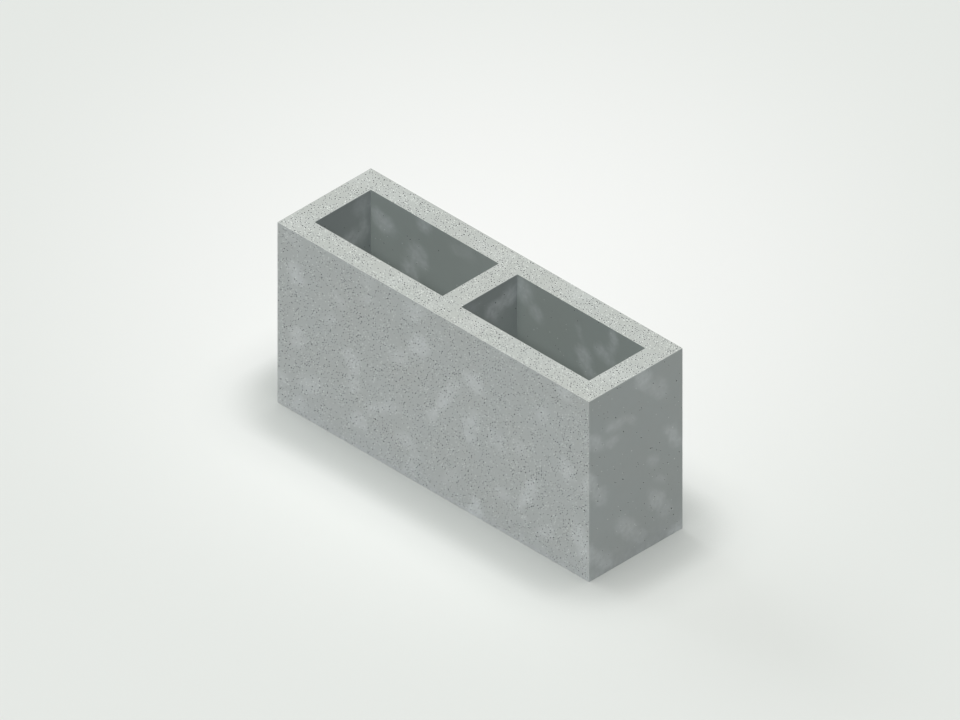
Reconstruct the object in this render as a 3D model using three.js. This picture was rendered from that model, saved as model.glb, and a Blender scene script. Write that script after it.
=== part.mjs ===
// A hollow concrete block for masonry walls, cast in one piece.
//
// It is a rectangular block with a row of rectangular cells that run straight
// through it from the top bed to the bottom bed. Two long face shells, two end
// webs and the webs between the cells are left standing around the cells.
//
// Units are millimetres. The origin is at the centre of the bottom bed face.
// +X runs along the block's length, +Y across its width, and +Z up through the
// cells, as the block stands in a wall.

import * as THREE from 'three';

// ---- Driving dimensions -------------------------------------------------

// Overall size of the unit.
const blockLength = 400;
const blockWidth = 120;
const blockHeight = 200;

// Walls left around the cells.
const faceShellThickness = 24; // the long walls, which show in the wall's faces
const endWebThickness = 24; // the walls that close the block's two ends
const middleWebThickness = 24; // each wall between one cell and the next
const cellCount = 2;

// Small roundings that the mould leaves and that handling wears.
const verticalArrisRadius = 1.5; // the block's own upright corners
const bedArrisRadius = 0.8; // every edge of the top and bottom bed faces
const cellCornerRadius = 1.5; // the upright corners inside each cell

// How finely the roundings are faceted.
const cornerHalfSteps = 2; // a quarter round in plan gets twice this many facets
const bedArrisFacets = 3; // facets from an upright face over to a bed face

// Portland cement concrete, dry and unpainted.
const concrete = new THREE.MeshStandardMaterial({
  name: 'concrete',
  color: 0xa8aca9,
  roughness: 0.95,
  metalness: 0,
});

// ---- Sizes that follow ----------------------------------------------------

const cellWidth = blockWidth - 2 * faceShellThickness;
const cellLength =
  (blockLength - 2 * endWebThickness - (cellCount - 1) * middleWebThickness) /
  cellCount;
const cellPitch = cellLength + middleWebThickness;

// ---- Plan -----------------------------------------------------------------

// Traces a rectangle with round corners onto a path or shape, anticlockwise,
// centred at (centreX, 0).
function traceRoundedRectangle(path, centreX, length, width, radius) {
  const left = centreX - length / 2 + radius;
  const right = centreX + length / 2 - radius;
  const front = -width / 2 + radius;
  const back = width / 2 - radius;
  const quarter = Math.PI / 2;
  path.absarc(right, front, radius, -quarter, 0);
  path.absarc(right, back, radius, 0, quarter);
  path.absarc(left, back, radius, quarter, 2 * quarter);
  path.absarc(left, front, radius, 2 * quarter, 3 * quarter);
  path.closePath();
  return path;
}

// The block seen from above: its outline, with one hole for each cell.
function planOfBlock() {
  const plan = traceRoundedRectangle(
    new THREE.Shape(),
    0,
    blockLength,
    blockWidth,
    verticalArrisRadius,
  );
  const firstCellX = (-(cellCount - 1) * cellPitch) / 2;
  for (let i = 0; i < cellCount; i += 1) {
    const cell = traceRoundedRectangle(
      new THREE.Path(),
      firstCellX + i * cellPitch,
      cellLength,
      cellWidth,
      cellCornerRadius,
    );
    plan.holes.push(cell);
  }
  return plan;
}

// ---- Block ----------------------------------------------------------------

// The plan raised to the block's height. The bevel rounds every edge where an
// upright face meets a bed face, outside and at the cells' mouths, and its
// offset keeps the upright faces themselves on the plan.
function makeBlock() {
  const geometry = new THREE.ExtrudeGeometry(planOfBlock(), {
    depth: blockHeight - 2 * bedArrisRadius,
    steps: 1,
    curveSegments: cornerHalfSteps,
    bevelEnabled: true,
    bevelThickness: bedArrisRadius,
    bevelSize: bedArrisRadius,
    bevelOffset: -bedArrisRadius,
    bevelSegments: bedArrisFacets,
  });
  const block = new THREE.Mesh(geometry, concrete);
  block.name = 'hollow_block';
  block.position.z = bedArrisRadius; // the bevel reaches this far below the plan
  return block;
}

const concreteBlock = new THREE.Group();
concreteBlock.name = 'concrete_block';
concreteBlock.add(makeBlock());

export default concreteBlock;
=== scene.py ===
"""Looks of a hollow concrete block: grey dry-cast concrete, pinholed and touched by lime bloom.

The block was pressed and vibrated in a mould as one piece, so one closed mesh stands for it. Its
flat faces are filled with small triangles round real pinholes, its arrises are rounded as the mould
rounds them, and one concrete material covers it, with some painted shade and painted light. A
pale floor, painted with a pool of light and with shade at the block's foot, and soft studio light
are round it.

Lengths are in metres, and MM turns a size in millimetres to metres. The frame's origin is the
centre of the bottom bed, +X runs along the block, +Y across it and +Z up.
"""

import logging
import math
import random
from collections.abc import Iterator, Sequence
from dataclasses import dataclass, field
from enum import Enum
from typing import Any, ClassVar

import bpy
from mathutils import Matrix, Vector, geometry, noise


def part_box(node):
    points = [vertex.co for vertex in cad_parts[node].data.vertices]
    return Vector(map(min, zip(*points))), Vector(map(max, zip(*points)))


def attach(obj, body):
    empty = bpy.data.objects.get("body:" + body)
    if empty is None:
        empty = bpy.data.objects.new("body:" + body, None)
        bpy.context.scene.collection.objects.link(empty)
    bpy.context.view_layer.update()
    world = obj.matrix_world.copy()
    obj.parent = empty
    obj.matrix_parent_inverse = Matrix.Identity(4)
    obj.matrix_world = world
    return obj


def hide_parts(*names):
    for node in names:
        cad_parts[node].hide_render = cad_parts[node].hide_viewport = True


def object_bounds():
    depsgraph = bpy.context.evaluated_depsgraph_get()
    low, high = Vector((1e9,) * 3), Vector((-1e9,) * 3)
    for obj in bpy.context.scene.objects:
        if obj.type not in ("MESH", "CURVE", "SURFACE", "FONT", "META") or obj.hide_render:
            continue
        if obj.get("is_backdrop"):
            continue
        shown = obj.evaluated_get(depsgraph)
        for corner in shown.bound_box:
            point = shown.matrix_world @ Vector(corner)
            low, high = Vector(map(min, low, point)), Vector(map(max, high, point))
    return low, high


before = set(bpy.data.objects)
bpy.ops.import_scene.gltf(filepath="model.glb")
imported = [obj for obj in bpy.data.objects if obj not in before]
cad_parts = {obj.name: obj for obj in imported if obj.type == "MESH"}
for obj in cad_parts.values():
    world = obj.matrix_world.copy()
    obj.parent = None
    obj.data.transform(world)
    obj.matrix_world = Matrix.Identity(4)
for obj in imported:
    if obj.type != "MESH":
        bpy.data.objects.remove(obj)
cad_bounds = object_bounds()

log = logging.getLogger("concrete_block")

MM = 0.001
BLOCK_NODE = "hollow_block"
CONCRETE_SLOT = "concrete"
BAKE_MAP = "OFBake"
PIT_LAYER = "pinhole"
OPEN_LAYER = "openness"
PASTE_LAYER = "paste"
BLOOM_AND_FOOT_LIGHT_LAYER = "bloom"
RIM_LAYER = "rim"
LAID_LAYER = "laid"
UP = Vector((0, 0, 1))

# The sRGB curve is straight up to its knee and a power above it.
SRGB_FULL = 255
SRGB_KNEE = 0.04045
SRGB_SLOPE = 12.92
SRGB_LIFT = 0.055
SRGB_POWER = 2.4


def linear(colour: str) -> tuple[float, float, float, float]:
    """Turns an sRGB hex colour to linear light.

    Args:
        colour: the colour as "#rrggbb".

    Returns:
        Red, green, blue and an alpha of one.
    """
    shares = [int(colour[i : i + 2], 16) / SRGB_FULL for i in (1, 3, 5)]
    low = [share / SRGB_SLOPE for share in shares]
    high = [((share + SRGB_LIFT) / (1 + SRGB_LIFT)) ** SRGB_POWER for share in shares]
    red, green, blue = (a if share <= SRGB_KNEE else b for share, a, b in zip(shares, low, high, strict=True))
    return red, green, blue, 1.0


def add_node(
    tree: bpy.types.NodeTree,
    kind: str,
    settings: dict[str, Any] | None = None,
    inputs: dict[str | int, Any] | None = None,
) -> bpy.types.Node:
    """Adds one shader node, sets it and feeds it.

    Args:
        tree: the material's or the world's node tree.
        kind: Blender's name for the kind of node, such as ShaderNodeMath.
        settings: the node's own properties, by name.
        inputs: what each input socket gets, by name or number: a socket to link, or a value.

    Returns:
        The new node.
    """
    node = tree.nodes.new(kind)
    for name, value in (settings or {}).items():
        setattr(node, name, value)
    for name, value in (inputs or {}).items():
        if isinstance(value, bpy.types.NodeSocket):
            tree.links.new(value, node.inputs[name])
        else:
            node.inputs[name].default_value = value
    return node


# ---- The block's faces ----------------------------------------------------


class Side(Enum):
    """The kinds of face that the block has, each with a texture of its own."""

    SHELL = "long outer face"
    END = "outer end face"
    BED = "top or bottom bed"
    CELL_SHELL = "long wall inside a cell"
    CELL_WEB = "short wall inside a cell"


@dataclass(frozen=True)
class Texture:
    """How one kind of face came out of the mould.

    Attributes:
        pinholes: air holes in each square millimetre.
        openness: how far the sand shows through the cement skin, from 0 to 1.
        lime: how thick its clouds of lime are, 1 for a solid crust.
        foot: how much paler its foot is painted with lime colour, as painted light against the shade near the
            floor.
        paste: the colour of its cement paste, which in the cells also holds painted shade and light.
    """

    pinholes: float
    openness: float
    lime: float
    # Painted light: foot paints the foot of a face paler.
    foot: float = 0.0
    paste: str = "#acb0b0"


# The mix is tamped against the shells and struck off at the beds, which leaves them open. The
# steel end plates and the cores trowel the ends and the cells as they are drawn. In the cells the
# long walls have a darker, greener paste, which is painted shade, and the short ones a paler paste,
# which is painted light. The outer faces are painted paler at their foot, as painted light.
TEXTURES = {
    Side.SHELL: Texture(pinholes=0.033, openness=0.85, lime=0.20, foot=0.20),
    Side.END: Texture(pinholes=0.0022, openness=0.06, lime=0.25, foot=0.36, paste="#aab0b1"),
    Side.BED: Texture(pinholes=0.055, openness=1.0, lime=0.06, paste="#a7acaa"),
    # Painted shade: the long cell walls' darker, greener paste.
    Side.CELL_SHELL: Texture(pinholes=0.0002, openness=0.03, lime=0.27, paste="#9aa29f"),
    # Painted light: the short cell walls' paler paste.
    Side.CELL_WEB: Texture(pinholes=0.0002, openness=0.03, lime=0.75, paste="#b5bdbe"),
}


@dataclass(frozen=True)
class Rectangle:
    """A rectangle on a face.

    Attributes:
        low: its low corner, as (across, up).
        high: its high corner.
    """

    low: tuple[float, float]
    high: tuple[float, float]

    @property
    def area(self) -> float:
        """How much face it covers."""
        return (self.high[0] - self.low[0]) * (self.high[1] - self.low[1])

    def holds(self, across: float, up: float, margin: float = 0.0) -> bool:
        """Says whether a point lies inside.

        Args:
            across: where the point is along the face.
            up: where it is up the face.
            margin: how far it has to be from every edge.

        Returns:
            Whether it does.
        """
        inside_across = self.low[0] + margin <= across <= self.high[0] - margin
        return inside_across and self.low[1] + margin <= up <= self.high[1] - margin


@dataclass(frozen=True)
class Panel:
    """One flat face of the block, as a rectangle with its own across and up directions.

    Attributes:
        name: what the face is called.
        side: what kind of face it is.
        corner: where the sharp corner of its low edges would be.
        across: the unit vector along the face.
        up: the unit vector up the face, so that across x up looks out of the concrete.
        length: the face's size along across.
        height: the face's size along up.
        openings: the cell mouths in it.
    """

    name: str
    side: Side
    corner: Vector
    across: Vector
    up: Vector
    length: float
    height: float
    openings: tuple[Rectangle, ...] = ()

    @property
    def outward(self) -> Vector:
        """The way that the face looks."""
        return self.across.cross(self.up)

    @property
    def whole(self) -> Rectangle:
        """The face's own rectangle."""
        return Rectangle((0.0, 0.0), (self.length, self.height))

    def place(self, across: float, up: float, depth: float = 0.0) -> Vector:
        """The point in the block's frame at a place on the face, or at a depth below it."""
        return self.corner + self.across * across + self.up * up - self.outward * depth

    def local(self, point: Vector) -> Vector:
        """The same point as (across, up) on the face."""
        reach = point - self.corner
        return Vector((reach.dot(self.across), reach.dot(self.up)))

    def clear(self, across: float, up: float, margin: float) -> bool:
        """Says whether a place on the face is concrete.

        Args:
            across: where the place is along the face.
            up: where it is up the face.
            margin: how far it has to be from the rim and from the cell mouths.

        Returns:
            Whether it is.
        """
        if not self.whole.holds(across, up, margin):
            return False
        return not any(mouth.holds(across, up, -margin) for mouth in self.openings)


@dataclass(frozen=True)
class Station:
    """One upright line of a loop of walls, seen from above.

    Attributes:
        point: where it stands, at height zero.
        outward: the way that the surface looks there.
        wall: the number of the wall that it belongs to, counting a corner's second half as the next.
    """

    point: Vector
    outward: Vector
    wall: int


@dataclass(frozen=True)
class WallLoop:
    """Four upright walls that meet at rounded corners: the block's outside, or a cell's inside.

    Attributes:
        name: what the loop is called.
        sides: the kind of each of its four walls, the front one first.
        centre: the loop's middle along the block.
        length: its size along the block.
        width: its size across the block.
        radius: the radius of its upright corners.
        hollow: whether the walls look in, as a cell's do.
    """

    name: str
    sides: tuple[Side, Side, Side, Side]
    centre: float
    length: float
    width: float
    radius: float
    hollow: bool

    @property
    def wall_names(self) -> tuple[str, str, str, str]:
        """What its walls are called, in walking order."""
        return ("front", "left", "back", "right") if self.hollow else ("front", "right", "back", "left")

    def corners(self) -> list[Vector]:
        """Finds where its walls would meet if they met sharply.

        Returns:
            The corners, in the order that keeps the concrete on the left hand.
        """
        near, far = -self.width / 2, self.width / 2
        left, right = self.centre - self.length / 2, self.centre + self.length / 2
        if self.hollow:
            left, right = right, left
        return [Vector((x, y, 0)) for x, y in ((left, near), (right, near), (right, far), (left, far))]

    def panels(self, height: float) -> list[Panel]:
        """Makes its four flat walls.

        Args:
            height: how high they stand.

        Returns:
            The walls, the front one first.
        """
        corners = self.corners()
        made = []
        for i, corner in enumerate(corners):
            run = corners[(i + 1) % len(corners)] - corner
            name = f"{self.name} {self.wall_names[i]}"
            made.append(Panel(name, self.sides[i], corner, run.normalized(), UP, run.length, height))
        return made

    def stations(self, step: float, facets: int) -> list[Station]:
        """Walks round the loop.

        Args:
            step: the spacing wanted on the flat walls.
            facets: how many flat strips stand for each rounded corner.

        Returns:
            The stations in walking order, without the first one again at the end.
        """
        walls = self.panels(0.0)
        bulge = -1.0 if self.hollow else 1.0
        made: list[Station] = []
        for i, wall in enumerate(walls):
            start = wall.corner + wall.across * self.radius
            flat = wall.length - 2 * self.radius
            count = round(flat / step)
            for k in range(count + 1):
                made.append(Station(start + wall.across * (flat * k / count), wall.outward, i))
            turned = walls[(i + 1) % len(walls)]
            middle = made[-1].point - wall.outward * (bulge * self.radius)
            for k in range(1, facets):
                angle = math.pi / 2 * k / facets
                outward = wall.outward * math.cos(angle) + turned.outward * math.sin(angle)
                owner = i if 2 * k < facets else (i + 1) % len(walls)
                made.append(Station(middle + outward * (bulge * self.radius), outward, owner))
        return made


# ---- Pinholes -------------------------------------------------------------


@dataclass(frozen=True)
class HoleKind:
    """One class of air holes, by how wide they are.

    Attributes:
        radii: the least and the greatest radius at the mouth.
        rim: how many points the mouth has.
        floor: how many points stand round the bottom.
        tip: whether one more point stands in the middle of the bottom.
    """

    radii: tuple[float, float]
    rim: int
    floor: int
    tip: bool


PRICK = HoleKind((0.48 * MM, 0.64 * MM), rim=5, floor=0, tip=True)
PINHOLE = HoleKind((0.64 * MM, 0.76 * MM), rim=6, floor=3, tip=False)
BUG_HOLE = HoleKind((0.76 * MM, 0.95 * MM), rim=9, floor=7, tip=True)


@dataclass(frozen=True)
class Pinhole:
    """One small air hole, open at the surface.

    Attributes:
        kind: its class.
        across: its middle along the face.
        up: its middle up the face.
        radius: its mean radius at the mouth.
        depth: how deep it goes.
        stretch: how much longer than wide it is.
        turn: the angle of its long axis.
        raggedness: how far its rim strays from round, as a share of its radius.
        floor_share: its radius at the bottom, as a share of its radius at the mouth.
        dish: how much deeper the middle of the bottom is than the rest.
        shade_at_rim: how much of the darkening by dust and painted shade it has at the rim already, from 0 to
            1.
    """

    kind: HoleKind
    across: float
    up: float
    radius: float
    depth: float
    stretch: float
    turn: float

    raggedness: ClassVar[float] = 0.16
    floor_share: ClassVar[float] = 0.55
    dish: ClassVar[float] = 1.15
    shade_at_rim: ClassVar[float] = 0.7

    @property
    def reach(self) -> float:
        """The furthest that its mouth gets from its middle."""
        return self.radius * self.stretch * (1 + self.raggedness)

    def gap(self, spot: Vector) -> float:
        """How far a place on the face is from its mouth."""
        return math.hypot(spot.x - self.across, spot.y - self.up) - self.radius

    def _ring(self, count: int, share: float, start: float, dice: random.Random) -> Iterator[Vector]:
        """Walks one ragged ring round the hole.

        Args:
            count: how many points it has.
            share: its radius, as a share of the hole's.
            start: the angle of its first point.
            dice: the source of its raggedness.

        Yields:
            Each point's place on the face.
        """
        for k in range(count):
            angle = start + 2 * math.pi * k / count
            ragged = 1 + self.raggedness * dice.uniform(-1, 1)
            radius = self.radius * share * ragged
            spot = Vector((radius * self.stretch * math.cos(angle), radius / self.stretch * math.sin(angle)))
            yield Matrix.Rotation(self.turn, 2) @ spot + Vector((self.across, self.up))

    def points(self, dice: random.Random) -> Iterator[tuple[Vector, float, float]]:
        """The hole's points, from its mouth to its floor.

        Args:
            dice: the source of the mouth's raggedness.

        Yields:
            The place on the face, the depth below it, and how far into the hole it is, from 0 to 1.
        """
        for spot in self._ring(self.kind.rim, 1.0, 0.0, dice):
            yield spot, 0.0, self.shade_at_rim
        for spot in self._ring(self.kind.floor, self.floor_share, math.pi / self.kind.rim, dice):
            yield spot, self.depth, 1.0
        if self.kind.tip:
            yield Vector((self.across, self.up)), self.depth * self.dish, 1.0


@dataclass(frozen=True)
class PinholeCrowd:
    """How the air holes of dry-cast concrete lie: in loose crowds, most of them a millimetre wide.

    Real ones go down to a tenth of that. The finest are left out, as they are too fine to show.

    Attributes:
        crowd_size: how wide a crowd of them is.
        crowding: how much more welcome a hole is in a crowd than outside it.
        knot_size: how wide the knots inside a crowd are.
        knotting: how much more welcome a hole is in a knot than outside it.
        welcome: how welcome a hole is at a usual place, and at the least.
        gap: the least concrete between two holes.
        edge: the least concrete between a hole and the sharp corner that an arris rounds off.
        pricks: the share of the holes that are mere pricks.
        bug_holes: the share of the holes that are wide ones.
        steepness: how deep a hole may be, as a share of its radius.
        stretches: how much longer than wide a hole may be.
        patience: how many places are tried for each hole that is wanted.
        seed: what the places are drawn from.
    """

    crowd_size: float = 48 * MM
    crowding: float = 0.4
    knot_size: float = 7 * MM
    knotting: float = 0.7
    welcome: tuple[float, float] = (0.5, 0.05)
    gap: float = 0.25 * MM
    edge: float = 0.6 * MM
    pricks: float = 0.68
    bug_holes: float = 0.008
    steepness: tuple[float, float] = (1.1, 1.8)
    stretches: tuple[float, float] = (1.0, 1.22)
    patience: int = 60
    seed: int = 20

    def wanted(self, place: Vector) -> float:
        """Says how welcome a hole is.

        Args:
            place: where it would be, in the block's frame.

        Returns:
            The chance that it may stay there, from 0 to 1.
        """
        crowd = noise.noise(place / self.crowd_size)
        knot = noise.noise(place / self.knot_size + UP * self.seed)
        usual, least = self.welcome
        return max(least, min(1.0, usual + self.crowding * crowd + self.knotting * knot))

    def draw(self, across: float, up: float, dice: random.Random) -> Pinhole:
        """Draws one hole's kind, size and shape.

        Args:
            across: its middle along the face.
            up: its middle up the face.
            dice: what they are drawn from.

        Returns:
            The hole.
        """
        lot = dice.random()
        if lot < self.pricks:
            kind = PRICK
        elif lot < 1 - self.bug_holes:
            kind = PINHOLE
        else:
            kind = BUG_HOLE
        radius = dice.uniform(*kind.radii)
        depth = radius * dice.uniform(*self.steepness)
        stretch = dice.uniform(*self.stretches)
        return Pinhole(kind, across, up, radius, depth, stretch, dice.uniform(0, math.pi))

    def scatter(self, panel: Panel) -> "Scatter":
        """Strews a face with holes that keep clear of each other and of the arrises.

        Args:
            panel: the face.

        Returns:
            The holes.
        """
        dice = random.Random(f"{self.seed} {panel.name}")
        strewn = Scatter(2 * BUG_HOLE.radii[1] + self.gap)
        area = panel.whole.area - sum(mouth.area for mouth in panel.openings)
        count = round(area / MM**2 * TEXTURES[panel.side].pinholes)
        for _ in range(self.patience * count):
            if len(strewn.holes) == count:
                break
            across, up = dice.uniform(0, panel.length), dice.uniform(0, panel.height)
            if dice.random() > self.wanted(panel.place(across, up)):
                continue
            hole = self.draw(across, up, dice)
            if not panel.clear(across, up, hole.reach + self.edge):
                continue
            if strewn.room(across, up, hole.reach + self.gap):
                strewn.add(hole)
        return strewn


class Scatter:
    """Holes on one face, kept in square bins so that near ones are found at once."""

    def __init__(self, bin_size: float) -> None:
        """Starts with no holes.

        Args:
            bin_size: at least the widest hole and its gap.
        """
        self.bin_size = bin_size
        self.holes: list[Pinhole] = []
        self._bins: dict[tuple[int, int], list[Pinhole]] = {}

    def _bin(self, across: float, up: float) -> tuple[int, int]:
        """The bin that a place falls in."""
        return math.floor(across / self.bin_size), math.floor(up / self.bin_size)

    def add(self, hole: Pinhole) -> None:
        """Keeps a hole."""
        self.holes.append(hole)
        self._bins.setdefault(self._bin(hole.across, hole.up), []).append(hole)

    def room(self, across: float, up: float, reach: float) -> bool:
        """Says whether there is room for a disc.

        Args:
            across: its middle along the face.
            up: its middle up the face.
            reach: its radius.

        Returns:
            Whether it touches no hole.
        """
        column, row = self._bin(across, up)
        near = (
            hole
            for i in (column - 1, column, column + 1)
            for j in (row - 1, row, row + 1)
            for hole in self._bins.get((i, j), ())
        )
        return all(math.hypot(h.across - across, h.up - up) > h.reach + reach for h in near)


# ---- Lime bloom -----------------------------------------------------------


@dataclass(frozen=True)
class Cloud:
    """One pale cloud of lime on a face, in millimetres.

    Attributes:
        across: its middle along the face, from the face's low corner.
        down: its middle, below the face's top edge.
        half_length: half its longer size.
        half_width: half its shorter size.
        lean: the angle of its longer size above the across direction, in degrees.
        amount: how much lime there is, 1 for a plain one.
        core: how far out the lime is at its fullest, as a share of the half sizes.
        reach: how far out it ends, as a share of the half sizes.
    """

    across: float
    down: float
    half_length: float
    half_width: float
    lean: float = 0.0
    amount: float = 1.0

    core: ClassVar[float] = 0.45
    reach: ClassVar[float] = 1.35

    def at(self, across: float, down: float) -> float:
        """Says how much lime it leaves, full in its core and easing out towards its reach.

        Args:
            across: where the place is along the face, in millimetres.
            down: how far it is below the face's top edge, in millimetres.

        Returns:
            The amount there.
        """
        turn = math.radians(self.lean)
        right, lift = across - self.across, self.down - down
        along = (right * math.cos(turn) + lift * math.sin(turn)) / self.half_length
        aside = (lift * math.cos(turn) - right * math.sin(turn)) / self.half_width
        fade = (self.reach - math.hypot(along, aside)) / (self.reach - self.core)
        fade = min(1.0, max(0.0, fade))
        return self.amount * fade * fade * (3 - 2 * fade)


@dataclass(frozen=True)
class LimeBloom:
    """Lime that drying water carried to the surface, where it stays as faint pale clouds.

    Attributes:
        placed: the clouds of the faces that have a list of their own, by the face's name.
        spacing: on every other face, the side of the square that has one cloud.
        half_sizes: the least and the greatest half size of a cloud there, in millimetres.
        drawn_out: how much longer a cloud there is than its greater half size.
        strengths: the least and the greatest amount of lime in a cloud there.
        leaning: the angle that clouds run at, and how far they stray from it, in degrees.
        foot_light_height: how far above the foot of an outer face its painted light has thinned to about a
            third.
        drift: for each size of wander in the clouds' outlines, that size and how far they wander.
        seed: what the wander is drawn from.
    """

    placed: dict[str, tuple[Cloud, ...]]
    spacing: float = 54 * MM
    half_sizes: tuple[float, float] = (7, 16)
    drawn_out: float = 1.4
    strengths: tuple[float, float] = (0.4, 1.2)
    leaning: tuple[float, float] = (50, 45)
    foot_light_height: float = 11 * MM
    drift: tuple[tuple[float, float], ...] = ((14 * MM, 5 * MM), (6 * MM, 2.5 * MM))
    seed: int = 5

    def clouds(self, panel: Panel) -> tuple[Cloud, ...]:
        """Finds the clouds of one face, and draws them if it has no list of its own.

        Args:
            panel: the face.

        Returns:
            Its clouds.
        """
        if panel.name in self.placed:
            return self.placed[panel.name]
        dice = random.Random(f"clouds {panel.name}")
        drawn = []
        for _ in range(round(panel.length * panel.height / self.spacing**2)):
            width, length = sorted((dice.uniform(*self.half_sizes), dice.uniform(*self.half_sizes)))
            lean = dice.gauss(*self.leaning)
            across, down = dice.uniform(0, panel.length / MM), dice.uniform(0, panel.height / MM)
            amount = dice.uniform(*self.strengths)
            drawn.append(Cloud(across, down, length * self.drawn_out, width, lean, amount))
        return tuple(drawn)

    def amounts(self, panel: Panel, points: list[Vector]) -> list[float]:
        """Says how much lime there is at some points of a face, with the painted light at its foot.

        Args:
            panel: the face.
            points: the points, in the block's frame.

        Returns:
            The amount at each, from 0 to about 1.
        """
        texture = TEXTURES[panel.side]
        clouds = self.clouds(panel)
        noise.seed_set(self.seed)
        found = []
        for point in points:
            spot = point.copy()
            for size, reach in self.drift:
                spot += noise.noise_vector(point / size) * reach
            place = panel.local(spot)
            across, down = place.x / MM, (panel.height - place.y) / MM
            cloudy = max((cloud.at(across, down) for cloud in clouds), default=0.0)
            # Painted light: the foot of an outer face is painted paler with lime colour, against its shade
            # near the floor.
            painted_foot_light = math.exp(-max(0.0, place.y) / self.foot_light_height)
            found.append(texture.lime * cloudy + texture.foot * painted_foot_light)
        return found


# The clouds on the faces that are seen first. They lean as the water ran off.
SEEN_CLOUDS = {
    "outside front": (
        Cloud(24, 47, 13, 12),
        Cloud(18, 9, 11, 8, amount=0.4),
        Cloud(25, 115, 14, 10, lean=70, amount=0.9),
        Cloud(42, 160, 20, 9, lean=30, amount=0.65),
        Cloud(28, 186, 10, 7, amount=0.6),
        Cloud(4, 169, 12, 8, amount=0.6),
        Cloud(78, 48, 10, 8, lean=-30, amount=0.6),
        Cloud(68, 72, 10, 5, lean=40, amount=0.5),
        Cloud(115, 28, 11, 4, lean=35, amount=0.6),
        Cloud(115, 7, 10, 8, amount=0.4),
        Cloud(96, 106, 14, 11, lean=90, amount=0.9),
        Cloud(97, 131, 12, 8, lean=80, amount=0.75),
        Cloud(132, 141, 24, 7, lean=30, amount=0.8),
        Cloud(104, 169, 13, 8, lean=25, amount=0.85),
        Cloud(177, 10, 15, 10, lean=20, amount=0.9),
        Cloud(181, 48, 14, 13, lean=40, amount=1.1),
        Cloud(158, 71, 15, 9, lean=30, amount=0.7),
        Cloud(164, 160, 13, 8, amount=0.75),
        Cloud(180, 172, 8, 5, amount=0.6),
        Cloud(168, 187, 12, 7, lean=40, amount=0.5),
        Cloud(216, 88, 32, 7, lean=56, amount=1.05),
        Cloud(200, 112, 13, 7, lean=58),
        Cloud(252, 52, 13, 12, amount=1.1),
        Cloud(247, 98, 17, 10, lean=40, amount=0.9),
        Cloud(246, 114, 8, 7, lean=90, amount=0.8),
        Cloud(223, 168, 18, 4, lean=60, amount=0.4),
        Cloud(252, 192, 13, 9, lean=30, amount=1.1),
        Cloud(280, 102, 14, 9, lean=30, amount=0.55),
        Cloud(312, 95, 13, 9, lean=-20, amount=0.6),
        Cloud(290, 157, 11, 8, amount=0.6),
        Cloud(321, 142, 24, 7, lean=57, amount=1.1),
        Cloud(315, 170, 8, 4, lean=-60, amount=0.5),
        Cloud(340, 44, 12, 8, lean=45, amount=0.7),
        Cloud(367, 6, 8, 7, lean=30, amount=0.8),
        Cloud(346, 172, 14, 8, lean=30, amount=0.7),
        Cloud(371, 90, 12, 10, lean=70, amount=0.85),
        Cloud(396, 95, 12, 6, lean=90, amount=0.7),
        Cloud(398, 42, 6, 5, amount=0.6),
        Cloud(389, 160, 21, 10, lean=-75),
    ),
    "outside right": (
        Cloud(70, 10, 16, 10, lean=-50, amount=1.15),
        Cloud(90, 31, 16, 9, lean=-45, amount=0.7),
        Cloud(34, 41, 13, 7, lean=-15, amount=0.8),
        Cloud(53, 46, 9, 5, lean=-50, amount=0.6),
        Cloud(8, 50, 15, 7, lean=-45),
        Cloud(30, 58, 11, 6, lean=-20, amount=0.7),
        Cloud(108, 90, 18, 7, lean=-52, amount=1.1),
        Cloud(2, 90, 18, 7, lean=-72, amount=1.1),
        Cloud(12, 108, 15, 8, lean=-50, amount=0.9),
        Cloud(81, 106, 9, 5, lean=-45, amount=0.7),
        Cloud(92, 131, 9, 4, lean=-45, amount=0.5),
        Cloud(48, 163, 21, 9, lean=-52),
        Cloud(64, 182, 10, 5, lean=-35, amount=0.6),
        Cloud(86, 152, 15, 8, lean=-55),
        Cloud(97, 166, 14, 8, lean=-50, amount=0.6),
        Cloud(5, 172, 14, 8, lean=-60, amount=1.1),
        Cloud(17, 184, 15, 9, lean=-40),
        Cloud(112, 196, 12, 8, lean=20),
    ),
    "cell 0 back": (
        Cloud(16, 28, 18, 11, lean=-15),
        Cloud(60, 44, 14, 14, amount=0.9),
        Cloud(50, 64, 13, 12),
        Cloud(68, 4, 11, 8),
        Cloud(117, 10, 16, 8, amount=0.4),
    ),
    "cell 0 left": (
        Cloud(62, 11, 13, 12, amount=0.5),
        Cloud(44, 46, 18, 12, lean=20, amount=0.8),
        Cloud(62, 38, 16, 8, lean=80, amount=0.6),
    ),
    "cell 1 back": (
        Cloud(7, 14, 14, 14, amount=0.9),
        Cloud(24, 32, 10, 8, amount=0.8),
        Cloud(80, 26, 10, 4, lean=90, amount=0.5),
        Cloud(86, 50, 13, 10, lean=90),
        Cloud(93, 63, 12, 8, amount=0.8),
        Cloud(123, 12, 16, 6, lean=80, amount=0.9),
        Cloud(113, 33, 12, 9, amount=0.9),
    ),
    "cell 1 left": (
        Cloud(44, 26, 14, 12),
        Cloud(61, 20, 14, 10, lean=20, amount=0.9),
        Cloud(12, 8, 12, 8, amount=0.3),
    ),
}


# ---- The mesh -------------------------------------------------------------


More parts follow.
